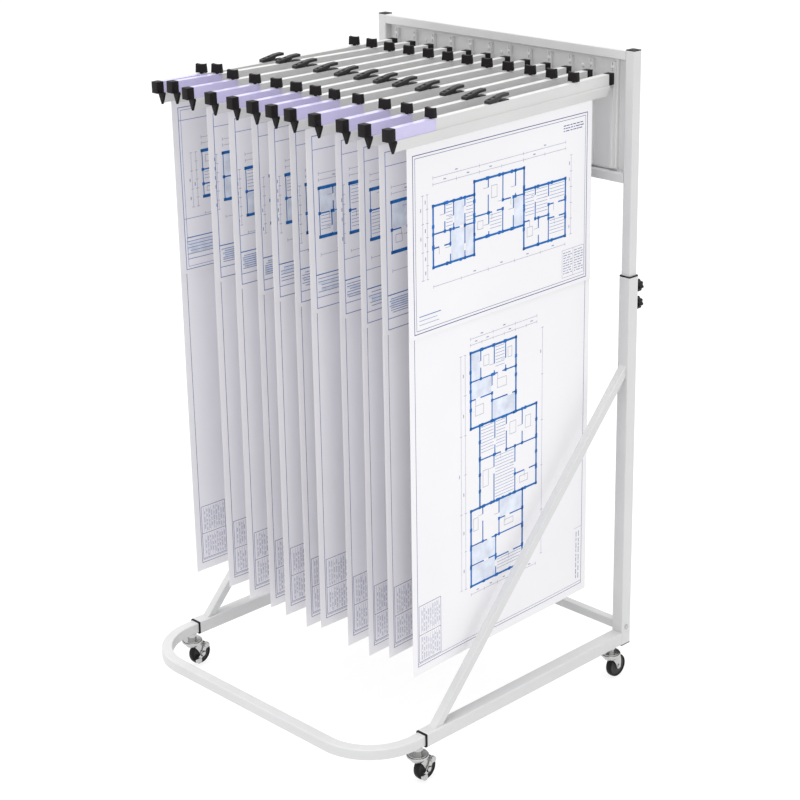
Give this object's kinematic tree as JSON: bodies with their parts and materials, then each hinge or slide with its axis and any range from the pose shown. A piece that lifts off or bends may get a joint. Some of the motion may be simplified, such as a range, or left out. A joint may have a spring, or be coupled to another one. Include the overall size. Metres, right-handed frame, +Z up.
{
  "type": "plan hanging rack",
  "caption": "Wheeled stand with telescoping posts and a slotted panel that carries swinging clamps, each gripping a hanging set of large drawings.",
  "frame": {"origin": "on the floor, midway between the post centres and midway between the base's front and the rear of the height knobs", "axes": "+Z up, -Y towards the front loop and the clamps' free ends, +X to the right seen from the front"},
  "size_m": [0.851, 0.9042, 1.552],
  "materials": {
    "white_coat": "white powder coat, slightly textured",
    "grey_coat": "light grey powder coat",
    "white_clamp": "smooth off-white coat",
    "black_plastic": "moulded, satin",
    "zinc_steel": "bright zinc plate",
    "black_wheel": "moulded tread, satin",
    "plan_paper": "matt print paper"
  },
  "bodies": {
    "base": {"side_frame_left": "white_coat", "side_frame_right": "white_coat", "front_loop": "white_coat", "rear_crossbar": "white_coat", "base_plastics": "black_plastic", "base_hardware": "zinc_steel"},
    "upper_frame": {"panel_frame": "white_coat", "slot_panel": "grey_coat", "top_plugs": "black_plastic"},
    "hanger_01": {"hanger_01_rail": "white_clamp", "hanger_01_fittings": "black_plastic", "plan_sheet_01": "plan_paper"},
    "hanger_02": {"hanger_02_rail": "white_clamp", "hanger_02_fittings": "black_plastic"},
    "hanger_03": {"hanger_03_rail": "white_clamp", "hanger_03_fittings": "black_plastic", "plan_sheet_03": "plan_paper"},
    "hanger_04": {"hanger_04_rail": "white_clamp", "hanger_04_fittings": "black_plastic", "plan_sheet_04": "plan_paper"},
    "hanger_05": {"hanger_05_rail": "white_clamp", "hanger_05_fittings": "black_plastic", "plan_sheet_05": "plan_paper"},
    "hanger_06": {"hanger_06_rail": "white_clamp", "hanger_06_fittings": "black_plastic", "plan_sheet_06": "plan_paper"},
    "hanger_07": {"hanger_07_rail": "white_clamp", "hanger_07_fittings": "black_plastic", "plan_sheet_07": "plan_paper"},
    "hanger_08": {"hanger_08_rail": "white_clamp", "hanger_08_fittings": "black_plastic", "plan_sheet_08": "plan_paper"},
    "hanger_09": {"hanger_09_rail": "white_clamp", "hanger_09_fittings": "black_plastic", "plan_sheet_09": "plan_paper"},
    "hanger_10": {"hanger_10_rail": "white_clamp", "hanger_10_fittings": "black_plastic", "plan_sheet_10": "plan_paper"},
    "hanger_11": {"hanger_11_rail": "white_clamp", "hanger_11_fittings": "black_plastic", "plan_sheet_11": "plan_paper"},
    "hanger_12": {"hanger_12_rail": "white_clamp", "hanger_12_fittings": "black_plastic", "plan_sheet_12": "plan_paper"},
    "hanger_12_knob": {"hanger_12_knob": "black_plastic"},
    "hanger_12_lever": {"hanger_12_lever": "black_plastic"},
    "height_knob_left_upper": {"height_knob_left_upper": "black_plastic"},
    "height_knob_left_lower": {"height_knob_left_lower": "black_plastic"},
    "height_knob_right_upper": {"height_knob_right_upper": "black_plastic"},
    "height_knob_right_lower": {"height_knob_right_lower": "black_plastic"},
    "caster_front_left": {"caster_fork_front_left": "zinc_steel"},
    "wheel_front_left": {"caster_wheel_front_left": "black_wheel"},
    "brake_front_left": {"caster_brake_front_left": "zinc_steel"},
    "caster_rear_left": {"caster_fork_rear_left": "zinc_steel"},
    "wheel_rear_left": {"caster_wheel_rear_left": "black_wheel"},
    "caster_front_right": {"caster_fork_front_right": "zinc_steel"},
    "wheel_front_right": {"caster_wheel_front_right": "black_wheel"},
    "brake_front_right": {"caster_brake_front_right": "zinc_steel"},
    "caster_rear_right": {"caster_fork_rear_right": "zinc_steel"},
    "wheel_rear_right": {"caster_wheel_rear_right": "black_wheel"}
  },
  "joints": [
    {"name": "height_slide", "type": "slide", "parent": "base", "child": "upper_frame", "axis": [0, 0, 1], "range_m": [-0.1, 0.15]},
    {"name": "hanger_01_swing", "type": "hinge", "parent": "upper_frame", "child": "hanger_01", "pos_m": [-0.34925, 0.40066, 1.4856], "axis": [0, 0, 1], "range_deg": [-2.2, 2.3]},
    {"name": "hanger_02_swing", "type": "hinge", "parent": "upper_frame", "child": "hanger_02", "pos_m": [-0.28575, 0.40066, 1.4856], "axis": [0, 0, 1], "range_deg": [-2.3, 2.3]},
    {"name": "hanger_03_swing", "type": "hinge", "parent": "upper_frame", "child": "hanger_03", "pos_m": [-0.22225, 0.40066, 1.4856], "axis": [0, 0, 1], "range_deg": [-2.3, 2.3]},
    {"name": "hanger_04_swing", "type": "hinge", "parent": "upper_frame", "child": "hanger_04", "pos_m": [-0.15875, 0.40066, 1.4856], "axis": [0, 0, 1], "range_deg": [-2.3, 2.3]},
    {"name": "hanger_05_swing", "type": "hinge", "parent": "upper_frame", "child": "hanger_05", "pos_m": [-0.09525, 0.40066, 1.4856], "axis": [0, 0, 1], "range_deg": [-2.3, 2.3]},
    {"name": "hanger_06_swing", "type": "hinge", "parent": "upper_frame", "child": "hanger_06", "pos_m": [-0.03175, 0.40066, 1.4856], "axis": [0, 0, 1], "range_deg": [-2.3, 2.3]},
    {"name": "hanger_07_swing", "type": "hinge", "parent": "upper_frame", "child": "hanger_07", "pos_m": [0.03175, 0.40066, 1.4856], "axis": [0, 0, 1], "range_deg": [-2.3, 2.3]},
    {"name": "hanger_08_swing", "type": "hinge", "parent": "upper_frame", "child": "hanger_08", "pos_m": [0.09525, 0.40066, 1.4856], "axis": [0, 0, 1], "range_deg": [-2.3, 2.3]},
    {"name": "hanger_09_swing", "type": "hinge", "parent": "upper_frame", "child": "hanger_09", "pos_m": [0.15875, 0.40066, 1.4856], "axis": [0, 0, 1], "range_deg": [-2.3, 2.3]},
    {"name": "hanger_10_swing", "type": "hinge", "parent": "upper_frame", "child": "hanger_10", "pos_m": [0.22225, 0.40066, 1.4856], "axis": [0, 0, 1], "range_deg": [-2.3, 2.3]},
    {"name": "hanger_11_swing", "type": "hinge", "parent": "upper_frame", "child": "hanger_11", "pos_m": [0.28575, 0.40066, 1.4856], "axis": [0, 0, 1], "range_deg": [-2.3, 2.3]},
    {"name": "hanger_12_swing", "type": "hinge", "parent": "upper_frame", "child": "hanger_12", "pos_m": [0.34925, 0.40066, 1.4856], "axis": [0, 0, 1], "range_deg": [-2.3, 1]},
    {"name": "hanger_12_knob_turn", "type": "hinge", "parent": "hanger_12", "child": "hanger_12_knob", "pos_m": [0.37688, -0.20778, 1.48922], "axis": [0.0005, -0.0105, 0.9999], "continuous": true},
    {"name": "hanger_12_lever_press", "type": "hinge", "parent": "hanger_12", "child": "hanger_12_lever", "pos_m": [0.36804, -0.01304, 1.49586], "axis": [0.999, 0.0454, 0], "range_deg": [-8, 0]},
    {"name": "height_knob_left_upper_turn", "type": "hinge", "parent": "base", "child": "height_knob_left_upper", "pos_m": [-0.4, 0.42809, 0.996], "axis": [0, 1, 0], "continuous": true},
    {"name": "height_knob_left_lower_turn", "type": "hinge", "parent": "base", "child": "height_knob_left_lower", "pos_m": [-0.4, 0.42809, 0.954], "axis": [0, 1, 0], "continuous": true},
    {"name": "height_knob_right_upper_turn", "type": "hinge", "parent": "base", "child": "height_knob_right_upper", "pos_m": [0.4, 0.42809, 0.996], "axis": [0, 1, 0], "continuous": true},
    {"name": "height_knob_right_lower_turn", "type": "hinge", "parent": "base", "child": "height_knob_right_lower", "pos_m": [0.4, 0.42809, 0.954], "axis": [0, 1, 0], "continuous": true},
    {"name": "caster_front_left_swivel", "type": "hinge", "parent": "base", "child": "caster_front_left", "pos_m": [-0.4, -0.29436, 0.064], "axis": [0, 0, 1], "continuous": true},
    {"name": "wheel_front_left_roll", "type": "hinge", "parent": "caster_front_left", "child": "wheel_front_left", "pos_m": [-0.4, -0.27336, 0.029], "axis": [1, 0, 0], "continuous": true},
    {"name": "brake_front_left_tread", "type": "hinge", "parent": "caster_front_left", "child": "brake_front_left", "pos_m": [-0.4, -0.27336, 0.029], "axis": [1, 0, 0], "range_deg": [-25, 0]},
    {"name": "caster_rear_left_swivel", "type": "hinge", "parent": "base", "child": "caster_rear_left", "pos_m": [-0.4, 0.37191, 0.064], "axis": [0, 0, 1], "continuous": true},
    {"name": "wheel_rear_left_roll", "type": "hinge", "parent": "caster_rear_left", "child": "wheel_rear_left", "pos_m": [-0.4, 0.39291, 0.029], "axis": [1, 0, 0], "continuous": true},
    {"name": "caster_front_right_swivel", "type": "hinge", "parent": "base", "child": "caster_front_right", "pos_m": [0.4, -0.29436, 0.064], "axis": [0, 0, 1], "continuous": true},
    {"name": "wheel_front_right_roll", "type": "hinge", "parent": "caster_front_right", "child": "wheel_front_right", "pos_m": [0.4, -0.27336, 0.029], "axis": [1, 0, 0], "continuous": true},
    {"name": "brake_front_right_tread", "type": "hinge", "parent": "caster_front_right", "child": "brake_front_right", "pos_m": [0.4, -0.27336, 0.029], "axis": [1, 0, 0], "range_deg": [-25, 0]},
    {"name": "caster_rear_right_swivel", "type": "hinge", "parent": "base", "child": "caster_rear_right", "pos_m": [0.4, 0.37191, 0.064], "axis": [0, 0, 1], "continuous": true},
    {"name": "wheel_rear_right_roll", "type": "hinge", "parent": "caster_rear_right", "child": "wheel_rear_right", "pos_m": [0.4, 0.39291, 0.029], "axis": [1, 0, 0], "continuous": true}
  ]
}
